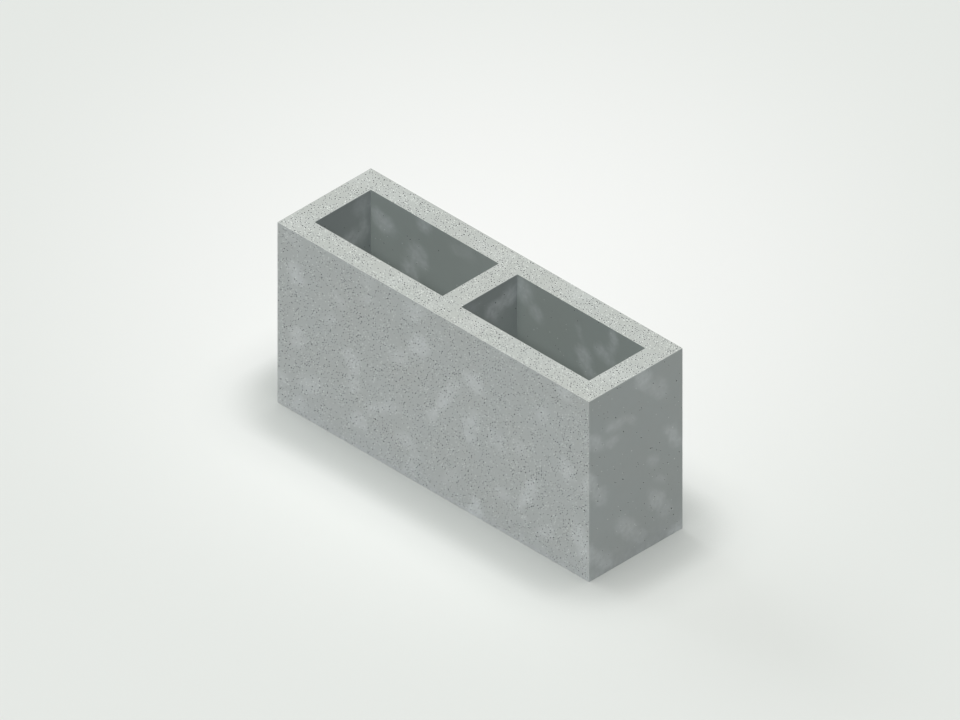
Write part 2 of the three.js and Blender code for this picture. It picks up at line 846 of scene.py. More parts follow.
@dataclass(frozen=True)
class BakeSheet:
    """A square sheet with every face laid flat on it at one scale, so that looks can be baked.

    Attributes:
        panels: the faces.
        width: how wide the rows of faces may be.
        gap: the space round each.
    """

    panels: tuple[Panel, ...]
    width: float = 820 * MM
    gap: float = 8 * MM

    def corners(self) -> dict[str, Vector]:
        """Fills rows of the sheet, from the tallest faces to the lowest.

        Returns:
            Where each face's low corner goes, by the face's name.
        """
        placed = {}
        across = up = self.gap / 2
        row = 0.0
        for panel in sorted(self.panels, key=lambda p: (-p.height, -p.length)):
            if across + panel.length > self.width:
                across, up = self.gap / 2, up + row + self.gap
                row = 0.0
            placed[panel.name] = Vector((across, up))
            across += panel.length + self.gap
            row = max(row, panel.height)
        return placed


class Skin:
    """The block's surface while it is built: shared points, and faces that each lie on one panel.

    Attributes:
        in_plane: how far from its panel's plane a point still counts as in it.
        far: the distance that stands for no pinhole near.
        near_holes: how many near pinholes each corner of a face keeps its distance from.
    """

    in_plane: ClassVar[float] = 0.001 * MM
    far: ClassVar[float] = 1.0
    near_holes: ClassVar[int] = 3

    def __init__(self) -> None:
        """Starts with nothing."""
        self.points: list[Vector] = []
        self.pit: list[float] = []
        self.faces: list[tuple[int, ...]] = []
        self.panels: list[Panel] = []
        self.rims: list[Vector] = []
        self._known: dict[tuple[float, float, float], int] = {}

    def point(self, place: Vector, pit: float = 0.0) -> int:
        """Adds a point, or finds the one that is there already.

        Args:
            place: where it is.
            pit: how far into a pinhole it is, from 0 to 1.

        Returns:
            The point's number.
        """
        key = tuple(place)
        if key not in self._known:
            self._known[key] = len(self.points)
            self.points.append(place)
            self.pit.append(pit)
        return self._known[key]

    def face(self, corners: Sequence[int], panel: Panel, rims: Sequence[Vector] = ()) -> None:
        """Adds a face.

        Args:
            corners: its corners' numbers, anticlockwise seen from outside.
            panel: the flat face that it belongs to.
            rims: how far each corner is from the rims of the near pinholes, if there are any.
        """
        self.faces.append(tuple(corners))
        self.panels.append(panel)
        self.rims += rims or [Vector((self.far,) * self.near_holes)] * len(corners)

    def is_flat(self, number: int) -> bool:
        """Says whether a face lies in its panel's plane.

        Args:
            number: the face's number.

        Returns:
            Whether every corner of it does.
        """
        panel = self.panels[number]
        corners = (self.points[i] for i in self.faces[number])
        return all(abs((p - panel.corner).dot(panel.outward)) < self.in_plane for p in corners)


@dataclass(frozen=True)
class BlockSizes:
    """The block's sizes: its overall ones from the frame, and its walls and roundings.

    Attributes:
        length: its size along the front.
        width: its size from front to back.
        height: its size from bed to bed.
        face_shell: how thick the front and the back walls are.
        end_web: how thick the end walls are.
        middle_web: how thick the wall between the cells is.
        cells: how many cells it has, side by side.
        upright_arris: the radius of its upright outer edges.
        cell_corner: the radius of the cells' upright corners.
        bed_arris: the radius of the edges round the beds.
    """

    length: float
    width: float
    height: float
    face_shell: float = 24 * MM
    end_web: float = 24 * MM
    middle_web: float = 24 * MM
    cells: int = 2
    upright_arris: float = 0.3 * MM
    cell_corner: float = 0.5 * MM
    bed_arris: float = 0.2 * MM

    @classmethod
    def from_frame(cls) -> "BlockSizes":
        """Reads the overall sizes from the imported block."""
        low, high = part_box(BLOCK_NODE)
        return cls(*(high - low))

    @property
    def cell_length(self) -> float:
        """A cell's size along the block."""
        webs = 2 * self.end_web + (self.cells - 1) * self.middle_web
        return (self.length - webs) / self.cells

    @property
    def cell_width(self) -> float:
        """A cell's size across the block."""
        return self.width - 2 * self.face_shell

    def cell_centre(self, number: int) -> float:
        """The middle of a cell along the block, counting from the left."""
        return (number - (self.cells - 1) / 2) * (self.cell_length + self.middle_web)


@dataclass
class HollowBlock:
    """The block: a closed mesh with pinholes, rounded arrises and patches of lime bloom.

    Attributes:
        sizes: its real sizes.
        pinholes: how its air holes lie.
        bloom: its clouds of lime.
        name: the piece's name.
        grid: the spacing of the points on its flat faces.
        rim_room: the least distance from such a point to the face's rim, as a share of the spacing.
        hole_room: the same to a pinhole.
        same_spot: how close two points of a face may come before they count as one.
        corner_facets: flat strips for each upright rounding.
        arris_facets: flat strips for each rounding between a wall and a bed.
        wear: the most that a rounded edge is rubbed back.
        usual_wear: how far it is rubbed back at a usual place, as a share of the most.
        wear_sizes: how long the rubbed stretches are, and the nicks in them.
        nicking: how much the nicks matter, 1 for as much as the stretches.
        sharp_edge: the least angle between two faces that is seen as an edge.
        skin: the surface while it is built.
    """

    sizes: BlockSizes
    pinholes: PinholeCrowd = field(default_factory=PinholeCrowd)
    bloom: LimeBloom = field(default_factory=lambda: LimeBloom(SEEN_CLOUDS))
    name: str = "concrete_block"
    grid: float = 4 * MM
    rim_room: float = 0.55
    hole_room: float = 0.2
    same_spot: float = 0.00001 * MM
    corner_facets: int = 4
    arris_facets: int = 3
    wear: float = 0.06 * MM
    usual_wear: float = 0.35
    wear_sizes: tuple[float, float] = (9 * MM, 3 * MM)
    nicking: float = 0.5
    sharp_edge: float = math.radians(35)
    skin: Skin = field(default_factory=Skin)

    def loops(self) -> list[WallLoop]:
        """Lists its loops of upright walls.

        Returns:
            The block's outside, then the inside of each cell.
        """
        s = self.sizes
        outer = (Side.SHELL, Side.END, Side.SHELL, Side.END)
        made = [WallLoop("outside", outer, 0.0, s.length, s.width, s.upright_arris, hollow=False)]
        for k in range(s.cells):
            centre = s.cell_centre(k)
            walls = (Side.CELL_SHELL, Side.CELL_WEB, Side.CELL_SHELL, Side.CELL_WEB)
            sizes = (centre, s.cell_length, s.cell_width, s.cell_corner)
            made.append(WallLoop(f"cell {k}", walls, *sizes, hollow=True))
        return made

    def beds(self) -> tuple[Panel, Panel]:
        """Makes the two beds, with the cell mouths in them.

        Returns:
            The bottom bed and the top bed.
        """
        s = self.sizes
        rim = Vector((-s.length / 2, -s.width / 2, 0))
        mouths = []
        for k in range(s.cells):
            left = s.cell_centre(k) - s.cell_length / 2 + s.length / 2
            right = left + s.cell_length
            mouths.append(Rectangle((left, s.face_shell), (right, s.face_shell + s.cell_width)))
        along, across = Vector((1, 0, 0)), Vector((0, 1, 0))
        size = (s.length, s.width, tuple(mouths))
        top = Panel("top bed", Side.BED, rim + UP * s.height, along, across, *size)
        bottom = Panel("bottom bed", Side.BED, rim + across * s.width, along, -across, *size)
        return bottom, top

    def heights(self) -> list[float]:
        """Spaces the rows of points on the upright walls.

        Returns:
            Their heights, from the lowest.
        """
        low, high = self.sizes.bed_arris, self.sizes.height - self.sizes.bed_arris
        rows = round((high - low) / self.grid)
        return [low + (high - low) * k / rows for k in range(rows + 1)]

    def worn(self, place: Vector, outward: Vector) -> Vector:
        """Rubs a point of a rounded edge back a little, more in some places than in others.

        Args:
            place: where it was cast.
            outward: the way that the surface looks there.

        Returns:
            Where it is now.
        """
        stretch, nick = (noise.noise(place / size) for size in self.wear_sizes)
        share = self.usual_wear + stretch + self.nicking * nick
        return place - outward * (self.wear * min(1.0, max(0.0, share)))

    def on_wall(self, station: Station, height: float, panels: list[Panel]) -> int:
        """Puts a point on an upright line of a loop, worn if it is on a rounded corner.

        Args:
            station: the line.
            height: how high the point is.
            panels: the loop's walls.

        Returns:
            The point's number.
        """
        place = station.point + UP * height
        if station.outward != panels[station.wall].outward:
            place = self.worn(place, station.outward)
        return self.skin.point(place)

    def round_corner(self, stations: list[Station], panels: list[Panel]) -> None:
        """Joins the flat walls of a loop by the strips of its rounded upright corners.

        Args:
            stations: the loop's stations.
            panels: its walls.
        """
        heights = self.heights()
        for here, there in zip(stations, stations[1:] + stations[:1], strict=True):
            if here.outward == there.outward:
                continue
            for low, high in zip(heights, heights[1:], strict=False):
                corners = [
                    self.on_wall(station, height, panels)
                    for station, height in ((here, low), (there, low), (there, high), (here, high))
                ]
                self.skin.face(corners, panels[here.wall])

    def round_arris(self, stations: list[Station], panels: list[Panel], bed: Panel) -> list[int]:
        """Rounds the edge between a loop of walls and a bed.

        Args:
            stations: the loop's stations.
            panels: its walls.
            bed: the bed that it meets.

        Returns:
            The numbers of the points where the rounding ends on the bed, in the stations' order.
        """
        radius = self.sizes.bed_arris
        top = bed.outward.z > 0
        level = self.sizes.height - radius if top else radius
        rings = [[self.on_wall(s, level, panels) for s in stations]]
        for k in range(1, self.arris_facets + 1):
            angle = math.pi / 2 * k / self.arris_facets
            ring = []
            for s in stations:
                middle = s.point + UP * level - s.outward * radius
                outward = s.outward * math.cos(angle) + bed.outward * math.sin(angle)
                place = middle + outward * radius
                ring.append(place if k == self.arris_facets else self.worn(place, outward))
            rings.append([self.skin.point(place) for place in ring])
        count = len(stations)
        for k, (lower, upper) in enumerate(zip(rings, rings[1:], strict=False)):
            on_bed = 2 * k + 1 > self.arris_facets
            for i, station in enumerate(stations):
                j = (i + 1) % count
                corners = [lower[i], lower[j], upper[j], upper[i]]
                if not top:
                    corners.reverse()
                self.skin.face(corners, bed if on_bed else panels[station.wall])
        return rings[-1]

    def fill(self, panel: Panel, rims: list[list[int]]) -> int:
        """Fills a flat face with small triangles, leaving its pinholes sunk in it.

        Args:
            panel: the face.
            rims: the numbers of the points round the face, then round each of its mouths.

        Returns:
            How many pinholes there are in it.
        """
        strewn = self.pinholes.scatter(panel)
        dice = random.Random(panel.name)
        spots = [panel.local(self.skin.points[i]) for rim in rims for i in rim]
        numbers = [i for rim in rims for i in rim]
        pit_of: dict[int, Pinhole] = {}
        edges, rim_of = [], []
        for k, rim in enumerate(rims):
            first = len(rim_of)
            edges += [(first + i, first + (i + 1) % len(rim)) for i in range(len(rim))]
            rim_of += [k] * len(rim)
        columns, rows = round(panel.length / self.grid), round(panel.height / self.grid)
        for i in range(1, columns):
            for j in range(1, rows):
                across, up = panel.length * i / columns, panel.height * j / rows
                if not panel.clear(across, up, self.grid * self.rim_room):
                    continue
                if strewn.room(across, up, self.grid * self.hole_room):
                    spots.append(Vector((across, up)))
                    numbers.append(self.skin.point(panel.place(across, up)))
        for hole in strewn.holes:
            for spot, depth, pit in hole.points(dice):
                pit_of[len(spots)] = hole
                spots.append(spot)
                numbers.append(self.skin.point(panel.place(spot.x, spot.y, depth), pit))
        # Kind 1 keeps only the triangles inside the outermost rim.
        _, _, triangles, origins, _, _ = geometry.delaunay_2d_cdt(spots, edges, [], 1, self.same_spot, True)
        sources = [origin[0] for origin in origins]
        for triangle in triangles:
            corners = [sources[i] for i in triangle]
            owners = {rim_of[i] if i < len(rim_of) else -1 for i in corners}
            if len(owners) == 1 and owners.isdisjoint({-1, 0}):
                continue  # a mouth's own inside
            near = list(dict.fromkeys(pit_of[i] for i in corners if i in pit_of))
            none_near = [self.skin.far] * (self.skin.near_holes - len(near))
            gaps = [Vector([hole.gap(spots[i]) for hole in near] + none_near) for i in corners]
            self.skin.face([numbers[i] for i in corners], panel, gaps)
        return len(strewn.holes)

    def build(self) -> None:
        """Builds the whole surface."""
        bottom, top = self.beds()
        bed_rims: dict[str, list[list[int]]] = {bottom.name: [], top.name: []}
        holes = 0
        for loop in self.loops():
            stations = loop.stations(self.grid, self.corner_facets)
            panels = loop.panels(self.sizes.height)
            self.round_corner(stations, panels)
            for bed in (bottom, top):
                bed_rims[bed.name].append(self.round_arris(stations, panels, bed))
            for i, panel in enumerate(panels):
                flat = [s for s in stations if s.wall == i and s.outward == panel.outward]
                holes += self.fill(panel, [self.wall_rim(flat)])
        for bed in (bottom, top):
            holes += self.fill(bed, bed_rims[bed.name])
        points, faces = len(self.skin.points), len(self.skin.faces)
        log.info("%s: %d points, %d faces, %d pinholes", self.name, points, faces, holes)

    def wall_rim(self, flat: list[Station]) -> list[int]:
        """Walks round a flat wall.

        Args:
            flat: the wall's stations.

        Returns:
            The numbers of the points on its rim, anticlockwise seen from outside.
        """
        heights = self.heights()
        low, high = heights[0], heights[-1]
        lines = (
            [(s, low) for s in flat[:-1]],
            [(flat[-1], h) for h in heights[:-1]],
            [(s, high) for s in reversed(flat[1:])],
            [(flat[0], h) for h in reversed(heights[1:])],
        )
        return [self.skin.point(s.point + UP * h) for line in lines for s, h in line]

    def mesh(self) -> bpy.types.Object:
        """Turns the surface into a mesh in the scene, with the layers that its looks are drawn from.

        Returns:
            The piece.
        """
        skin = self.skin
        made = bpy.data.meshes.new(self.name)
        made.from_pydata([tuple(p) for p in skin.points], [], skin.faces)
        flats = [skin.is_flat(i) for i in range(len(skin.faces))]
        # Marking the sharp edges turns every face smooth, so the flat ones are told after it.
        made.set_sharp_from_angle(angle=self.sharp_edge)
        made.polygons.foreach_set("use_smooth", [not flat for flat in flats])
        openness = [TEXTURES[panel.side].openness for panel in skin.panels]
        # Each corner's depth into its pinhole paints it darker, with dust and painted shade; faces in the
        # panel's plane get none.
        told = zip(flats, skin.faces, strict=True)
        pits = [0.0 if flat else skin.pit[i] for flat, face in told for i in face]
        made.attributes.new(PIT_LAYER, "FLOAT", "CORNER").data.foreach_set("value", pits)
        made.attributes.new(OPEN_LAYER, "FLOAT", "FACE").data.foreach_set("value", openness)
        pastes = {side: linear(texture.paste) for side, texture in TEXTURES.items()}
        paste = [share for panel in skin.panels for share in pastes[panel.side]]
        made.attributes.new(PASTE_LAYER, "FLOAT_COLOR", "FACE").data.foreach_set("color", paste)
        rims = [share for rim in skin.rims for share in rim]
        made.attributes.new(RIM_LAYER, "FLOAT_VECTOR", "CORNER").data.foreach_set("vector", rims)
        self.lay_bloom_and_foot_light(made)
        self.lay_flat(made)
        block = bpy.data.objects.new(self.name, made)
        bpy.context.scene.collection.objects.link(block)
        return block

    def faces_by_panel(self) -> dict[str, list[int]]:
        """Sorts the faces by the panel that they belong to.

        Returns:
            Their numbers, by the panel's name.
        """
        found: dict[str, list[int]] = {}
        for i, panel in enumerate(self.skin.panels):
            found.setdefault(panel.name, []).append(i)
        return found

    def lay_bloom_and_foot_light(self, made: bpy.types.Mesh) -> None:
        """Writes how much lime there is at each corner of each face, with the painted light at a foot.

        Args:
            made: the mesh.
        """
        skin = self.skin
        lime = [0.0] * len(made.loops)
        for numbers in self.faces_by_panel().values():
            panel = skin.panels[numbers[0]]
            corners = sorted({i for n in numbers for i in skin.faces[n]})
            # The amounts hold the lime clouds and the painted light at the foot of the outer faces.
            found = self.bloom.amounts(panel, [skin.points[i] for i in corners])
            amounts = dict(zip(corners, found, strict=True))
            for n in numbers:
                for loop in made.polygons[n].loop_indices:
                    lime[loop] = amounts[made.loops[loop].vertex_index]
        made.attributes.new(BLOOM_AND_FOOT_LIGHT_LAYER, "FLOAT", "CORNER").data.foreach_set("value", lime)

    def lay_flat(self, made: bpy.types.Mesh) -> None:
        """Gives each face its place on the bake sheet, and the same place at its real size.

        Args:
            made: the mesh.
        """
        skin = self.skin
        panels = {panel.name: panel for panel in skin.panels}
        sheet = BakeSheet(tuple(panels.values()))
        corners = sheet.corners()
        places, laid = [], []
        for face, panel in zip(skin.faces, skin.panels, strict=True):
            for i in face:
                place = panel.local(skin.points[i]) + corners[panel.name]
                places.extend(place / sheet.width)
                laid.extend(place.to_3d())
        made.uv_layers.new(name=BAKE_MAP).data.foreach_set("uv", places)
        made.attributes.new(LAID_LAYER, "FLOAT_VECTOR", "CORNER").data.foreach_set("vector", laid)


# ---- The concrete ---------------------------------------------------------


@dataclass(frozen=True)
class DryCastConcrete:
    """Grey concrete pressed nearly dry into a steel mould and cured in steam.

    Cement paste gives the even cool grey. Sand and stone dust just under the skin give a fine
    pepper of dots, and lime gives faint clouds. Nothing polishes it, so light is scattered and only
    a broad dull sheen is left. The insides of the pinholes are painted dark, for dust and as painted
    shade, the foot of the outer faces is painted paler as painted light, and in the cells the long
    walls are painted darker as painted shade and the short ones paler as painted light.

    Attributes:
        warm_wash: what is taken from the paste's colour where it dried first.
        drying_size: how wide the stretches are that dried first.
        drying_layers: how many times finer change is laid over them.
        tone_size: how wide the mottles are where the mould filled unevenly.
        tone_layers: how many times finer change is laid over them.
        tone_swing: how much lighter and darker they are.
        sand_size: how wide a sand grain is. Real sand goes down to a tenth of this, which would not
            show, so it is drawn as its coarsest grains.
        sand_swing: how much lighter and darker one grain is than another.
        sand_relief: how far the grains stand out where the skin is open.
        grain: a pale stone grain that shows as a dot.
        dark_grain: a dark one.
        dark_share: the share of such grains that are dark.
        grain_spacing: how far apart they lie.
        grain_radii: the least and the greatest radius of one.
        shown_share: the share of them that shows in a crowd.
        crowd_size: how wide a crowd of them is.
        crowd_layers: how many times finer change is laid over the crowds.
        crowd_edges: where in the noise that places the crowds they start and are at their fullest.
        lime: a solid crust of lime, of which the clouds are a thin veil.
        wisp_size: how wide the wisps in the clouds are. Finer ones would be lost at this distance.
        wisp_layers: how many times finer change is laid over them.
        wisp_edges: where in the noise that places the wisps they start and are at their fullest.
        wisp_veil: how thick the veil is between the wisps and in them.
        rim_lime: how thick the lime is at the rim of a pinhole or a dark grain.
        rim_width: how far it reaches from there.
        hollow: the colour painted inside a pinhole, for the dust that it keeps and as painted shade.
        roughness: how dull the flattest and the most open places are.
        ior: how strongly it mirrors at its surface, as cement does.
    """

    warm_wash: str = "#fffcf9"
    drying_size: float = 60 * MM
    drying_layers: float = 2.0
    tone_size: float = 11 * MM
    tone_layers: float = 3.0
    tone_swing: float = 0.025
    sand_size: float = 0.9 * MM
    sand_swing: float = 0.03
    sand_relief: float = 0.03 * MM
    grain: str = "#d8ddd9"
    dark_grain: str = "#2a2d2c"
    dark_share: float = 0.5
    grain_spacing: float = 1.9 * MM
    grain_radii: tuple[float, float] = (0.36 * MM, 0.54 * MM)
    shown_share: float = 0.55
    crowd_size: float = 7 * MM
    crowd_layers: float = 1.0
    crowd_edges: tuple[float, float] = (0.35, 0.65)
    lime: str = "#e4e8ea"
    wisp_size: float = 5 * MM
    wisp_layers: float = 3.0
    wisp_edges: tuple[float, float] = (0.3, 0.7)
    wisp_veil: tuple[float, float] = (0.6, 1.35)
    rim_lime: float = 0.12
    rim_width: float = 1.2 * MM
    # Dust and painted shade: the colour that the pinholes' insides are painted.
    hollow: str = "#222524"
    roughness: tuple[float, float] = (0.88, 0.96)
    ior: float = 1.5

    def dress(self, piece: bpy.types.Object) -> None:
        """Gives a piece this concrete.

        Args:
            piece: the piece, which has the layers that the looks are drawn from.
        """
        material = bpy.data.materials.new(CONCRETE_SLOT)
        material.use_nodes = True
        tree = material.node_tree
        tree.nodes.clear()
        place = add_node(tree, "ShaderNodeTexCoord").outputs["Object"]
        openness = add_node(tree, "ShaderNodeAttribute", {"attribute_name": OPEN_LAYER}).outputs["Fac"]
        sand = add_node(
            tree,
            "ShaderNodeTexVoronoi",
            {"feature": "F1"},
            {"Vector": place, "Scale": 1 / self.sand_size},
        )
        colour = self._paste(tree, place)
        colour = self._tone(tree, place, colour)
        colour = self._sand(tree, sand, openness, colour)
        colour = self._grains(tree, place, openness, colour)
        colour = self._lime(tree, place, colour)
        colour = self._holes(tree, colour)
        rough = add_node(
            tree,
            "ShaderNodeMapRange",
            {},
            {"Value": sand.outputs["Distance"], "To Min": self.roughness[0], "To Max": self.roughness[1]},
        )
        relief = add_node(
            tree,
            "ShaderNodeBump",
            {},
            {"Height": sand.outputs["Distance"], "Distance": self.sand_relief, "Strength": openness},
        )
        shader = add_node(
            tree,
            "ShaderNodeBsdfPrincipled",
            {},
            {
                "Base Color": colour,
                "Roughness": rough.outputs["Result"],
                "IOR": self.ior,
                "Normal": relief.outputs["Normal"],
            },
        )
        add_node(tree, "ShaderNodeOutputMaterial", {}, {"Surface": shader.outputs["BSDF"]})
        piece.data.materials.append(material)

    def _paste(self, tree: bpy.types.NodeTree, place: bpy.types.NodeSocket) -> bpy.types.NodeSocket:
        """Colours the paste, cooler and warmer by turns over a hand's breadth.

        Args:
            tree: the material's node tree.
            place: the place in the block's frame.

        Returns:
            The colour.
        """
        paste = add_node(tree, "ShaderNodeAttribute", {"attribute_name": PASTE_LAYER})
        drying = add_node(
            tree,
            "ShaderNodeTexNoise",
            {},
            {"Vector": place, "Scale": 1 / self.drying_size, "Detail": self.drying_layers},
        )
        mixed = add_node(
            tree,
            "ShaderNodeMix",
            {"data_type": "RGBA", "blend_type": "MULTIPLY"},
            {"Factor": drying.outputs["Fac"], "A": paste.outputs["Color"], "B": linear(self.warm_wash)},
        )
        return mixed.outputs["Result"]

    def _scaled(
        self,
        tree: bpy.types.NodeTree,
        colour: bpy.types.NodeSocket,
        value: bpy.types.NodeSocket,
        swing: float,
    ) -> bpy.types.NodeSocket:
        """Makes a colour darker where a value is 0 and lighter where it is 1.

        Args:
            tree: the material's node tree.
            colour: the colour.
            value: the value.
            swing: by what share of itself the colour changes at the most.

        Returns:
            The changed colour.
        """
        share = add_node(
            tree,
            "ShaderNodeMapRange",
            {},
            {"Value": value, "To Min": 1 - swing, "To Max": 1 + swing},
        )
        lit = add_node(
            tree,
            "ShaderNodeVectorMath",
            {"operation": "SCALE"},
            {"Vector": colour, "Scale": share.outputs["Result"]},
        )
        return lit.outputs["Vector"]

    def _tone(
        self, tree: bpy.types.NodeTree, place: bpy.types.NodeSocket, colour: bpy.types.NodeSocket
    ) -> bpy.types.NodeSocket:
        """Adds soft mottling where the mould filled unevenly.

        Args:
            tree: the material's node tree.
            place: the place in the block's frame.
            colour: the colour so far.

        Returns:
            The mottled colour.
        """
        mottle = add_node(
            tree,
            "ShaderNodeTexNoise",
            {},
            {"Vector": place, "Scale": 1 / self.tone_size, "Detail": self.tone_layers},
        )
        return self._scaled(tree, colour, mottle.outputs["Fac"], self.tone_swing)

    def _sand(
        self,
        tree: bpy.types.NodeTree,
        sand: bpy.types.Node,
        openness: bpy.types.NodeSocket,
        colour: bpy.types.NodeSocket,
    ) -> bpy.types.NodeSocket:
        """Adds a pepper of sand grains, each a little lighter or darker, where the skin is open.

        Args:
            tree: the material's node tree.
            sand: the pattern of the grains.
            openness: how open the skin is.
            colour: the colour so far.

        Returns:
            The peppered colour.
        """
        lots = add_node(tree, "ShaderNodeSeparateColor", {}, {"Color": sand.outputs["Color"]})
        peppered = self._scaled(tree, colour, lots.outputs["Red"], self.sand_swing)
        mixed = add_node(
            tree,
            "ShaderNodeMix",
            {"data_type": "RGBA"},
            {"Factor": openness, "A": colour, "B": peppered},
        )
        return mixed.outputs["Result"]

    def _grains_shown(
        self,
        tree: bpy.types.NodeTree,
        place: bpy.types.NodeSocket,
        openness: bpy.types.NodeSocket,
        lot: bpy.types.NodeSocket,
    ) -> bpy.types.NodeSocket:
        """Picks the single grains that show: more of them in a crowd, and where the skin is open.

        Args:
            tree: the material's node tree.
            place: the place in the block's frame.
            openness: how open the skin is.
            lot: a number from 0 to 1 that each grain drew.

        Returns:
            One where the grain shows, and zero where it doesn't.
        """
        crowd = add_node(
            tree,
            "ShaderNodeTexNoise",
            {},
            {"Vector": place, "Scale": 1 / self.crowd_size, "Detail": self.crowd_layers},
        )
        share = add_node(
            tree,
            "ShaderNodeMapRange",
            {},
            {
                "Value": crowd.outputs["Fac"],
                "From Min": self.crowd_edges[0],
                "From Max": self.crowd_edges[1],
                "To Max": self.shown_share,
            },
        )
        open_share = add_node(
            tree,
            "ShaderNodeMath",
            {"operation": "MULTIPLY"},
            {0: share.outputs["Result"], 1: openness},
        )
        shown = add_node(
            tree,
            "ShaderNodeMath",
            {"operation": "LESS_THAN"},
            {0: lot, 1: open_share.outputs["Value"]},
        )
        return shown.outputs["Value"]

    def _grains(
        self,
        tree: bpy.types.NodeTree,
        place: bpy.types.NodeSocket,
        openness: bpy.types.NodeSocket,
        colour: bpy.types.NodeSocket,
    ) -> bpy.types.NodeSocket:
        """Adds single grains that show as dots, dark ones with a pale rim and pale ones.

        Args:
            tree: the material's node tree.
            place: the place in the block's frame.
            openness: how open the skin is.
            colour: the colour so far.

        Returns:
            The colour with the dots.
        """
        laid = add_node(tree, "ShaderNodeAttribute", {"attribute_name": LAID_LAYER}).outputs["Vector"]
        dots = add_node(
            tree,
            "ShaderNodeTexVoronoi",
            {"feature": "F1", "voronoi_dimensions": "2D"},
            {"Vector": laid, "Scale": 1 / self.grain_spacing},
        )
        lots = add_node(tree, "ShaderNodeSeparateColor", {}, {"Color": dots.outputs["Color"]})
        shown = self._grains_shown(tree, place, openness, lots.outputs["Green"])
        reach = add_node(
            tree,
            "ShaderNodeMapRange",
            {},
            {
                "Value": lots.outputs["Blue"],
                "To Min": self.grain_radii[0] / self.grain_spacing,
                "To Max": self.grain_radii[1] / self.grain_spacing,
            },
        )
        dark = add_node(
            tree,
            "ShaderNodeMath",
            {"operation": "LESS_THAN"},
            {0: lots.outputs["Red"], 1: self.dark_share},
        )
        beyond = add_node(
            tree,
            "ShaderNodeMath",
            {"operation": "SUBTRACT"},
            {0: dots.outputs["Distance"], 1: reach.outputs["Result"]},
        )
        ring = add_node(
            tree,
            "ShaderNodeMapRange",
            {},
            {
                "Value": beyond.outputs["Value"],
                "From Max": self.rim_width / self.grain_spacing,
                "To Min": self.rim_lime,
                "To Max": 0.0,
            },
        )
        dark_shown = add_node(
            tree,
            "ShaderNodeMath",
            {"operation": "MULTIPLY"},
            {0: dark.outputs["Value"], 1: shown},
        )
        dark_ring = add_node(
            tree,
            "ShaderNodeMath",
            {"operation": "MULTIPLY"},
            {0: ring.outputs["Result"], 1: dark_shown.outputs["Value"]},
        )
        ringed = add_node(
            tree,
            "ShaderNodeMix",
            {"data_type": "RGBA"},
            {"Factor": dark_ring.outputs["Value"], "A": colour, "B": linear(self.lime)},
        )
        inside = add_node(
            tree,
            "ShaderNodeMath",
            {"operation": "LESS_THAN"},
            {0: beyond.outputs["Value"], 1: 0.0},
        )
        dot = add_node(
            tree,
            "ShaderNodeMath",
            {"operation": "MULTIPLY"},
            {0: inside.outputs["Value"], 1: shown},
        )
        tint = add_node(
            tree,
            "ShaderNodeMix",
            {"data_type": "RGBA"},
            {"Factor": dark.outputs["Value"], "A": linear(self.grain), "B": linear(self.dark_grain)},
        )
        mixed = add_node(
            tree,
            "ShaderNodeMix",
            {"data_type": "RGBA"},
            {"Factor": dot.outputs["Value"], "A": ringed.outputs["Result"], "B": tint.outputs["Result"]},
        )
        return mixed.outputs["Result"]

    def _lime(
        self, tree: bpy.types.NodeTree, place: bpy.types.NodeSocket, colour: bpy.types.NodeSocket
    ) -> bpy.types.NodeSocket:
        """Adds the clouds of lime, thinner and thicker inside themselves.

        Args:
            tree: the material's node tree.
            place: the place in the block's frame.
            colour: the colour so far.

        Returns:
            The bloomed colour.
        """
        # This layer holds the lime clouds and the painted light at the foot of the outer faces.
        bloom = add_node(tree, "ShaderNodeAttribute", {"attribute_name": BLOOM_AND_FOOT_LIGHT_LAYER})
        wisps = add_node(
            tree,
            "ShaderNodeTexNoise",
            {},
            {"Vector": place, "Scale": 1 / self.wisp_size, "Detail": self.wisp_layers},
        )
        veil = add_node(
            tree,
            "ShaderNodeMapRange",
            {},
            {
                "Value": wisps.outputs["Fac"],
                "From Min": self.wisp_edges[0],
                "From Max": self.wisp_edges[1],
                "To Min": self.wisp_veil[0],
                "To Max": self.wisp_veil[1],
            },
        )
        amount = add_node(
            tree,
            "ShaderNodeMath",
            {"operation": "MULTIPLY"},
            {0: bloom.outputs["Fac"], 1: veil.outputs["Result"]},
        )
        mixed = add_node(
            tree,
            "ShaderNodeMix",
            {"data_type": "RGBA"},
            {"Factor": amount.outputs["Value"], "A": colour, "B": linear(self.lime)},
        )
        return mixed.outputs["Result"]

    def _holes(self, tree: bpy.types.NodeTree, colour: bpy.types.NodeSocket) -> bpy.types.NodeSocket:
        """Adds the pale rims that lime leaves round the pinholes, and darkens their insides with dust and
        painted shade.

        Args:
            tree: the material's node tree.
            colour: the colour so far.

        Returns:
            The finished colour.
        """
        rims = add_node(tree, "ShaderNodeAttribute", {"attribute_name": RIM_LAYER})
        gaps = add_node(tree, "ShaderNodeSeparateXYZ", {}, {"Vector": rims.outputs["Vector"]})
        near = add_node(
            tree,
            "ShaderNodeMath",
            {"operation": "MINIMUM"},
            {0: gaps.outputs["X"], 1: gaps.outputs["Y"]},
        )
        nearest = add_node(
            tree,
            "ShaderNodeMath",
            {"operation": "MINIMUM"},
            {0: near.outputs["Value"], 1: gaps.outputs["Z"]},
        )
        ring = add_node(
            tree,
            "ShaderNodeMapRange",
            {},
            {
                "Value": nearest.outputs["Value"],
                "From Max": self.rim_width,
                "To Min": self.rim_lime,
                "To Max": 0.0,
            },
        )
        ringed = add_node(
            tree,
            "ShaderNodeMix",
            {"data_type": "RGBA"},
            {"Factor": ring.outputs["Result"], "A": colour, "B": linear(self.lime)},
        )
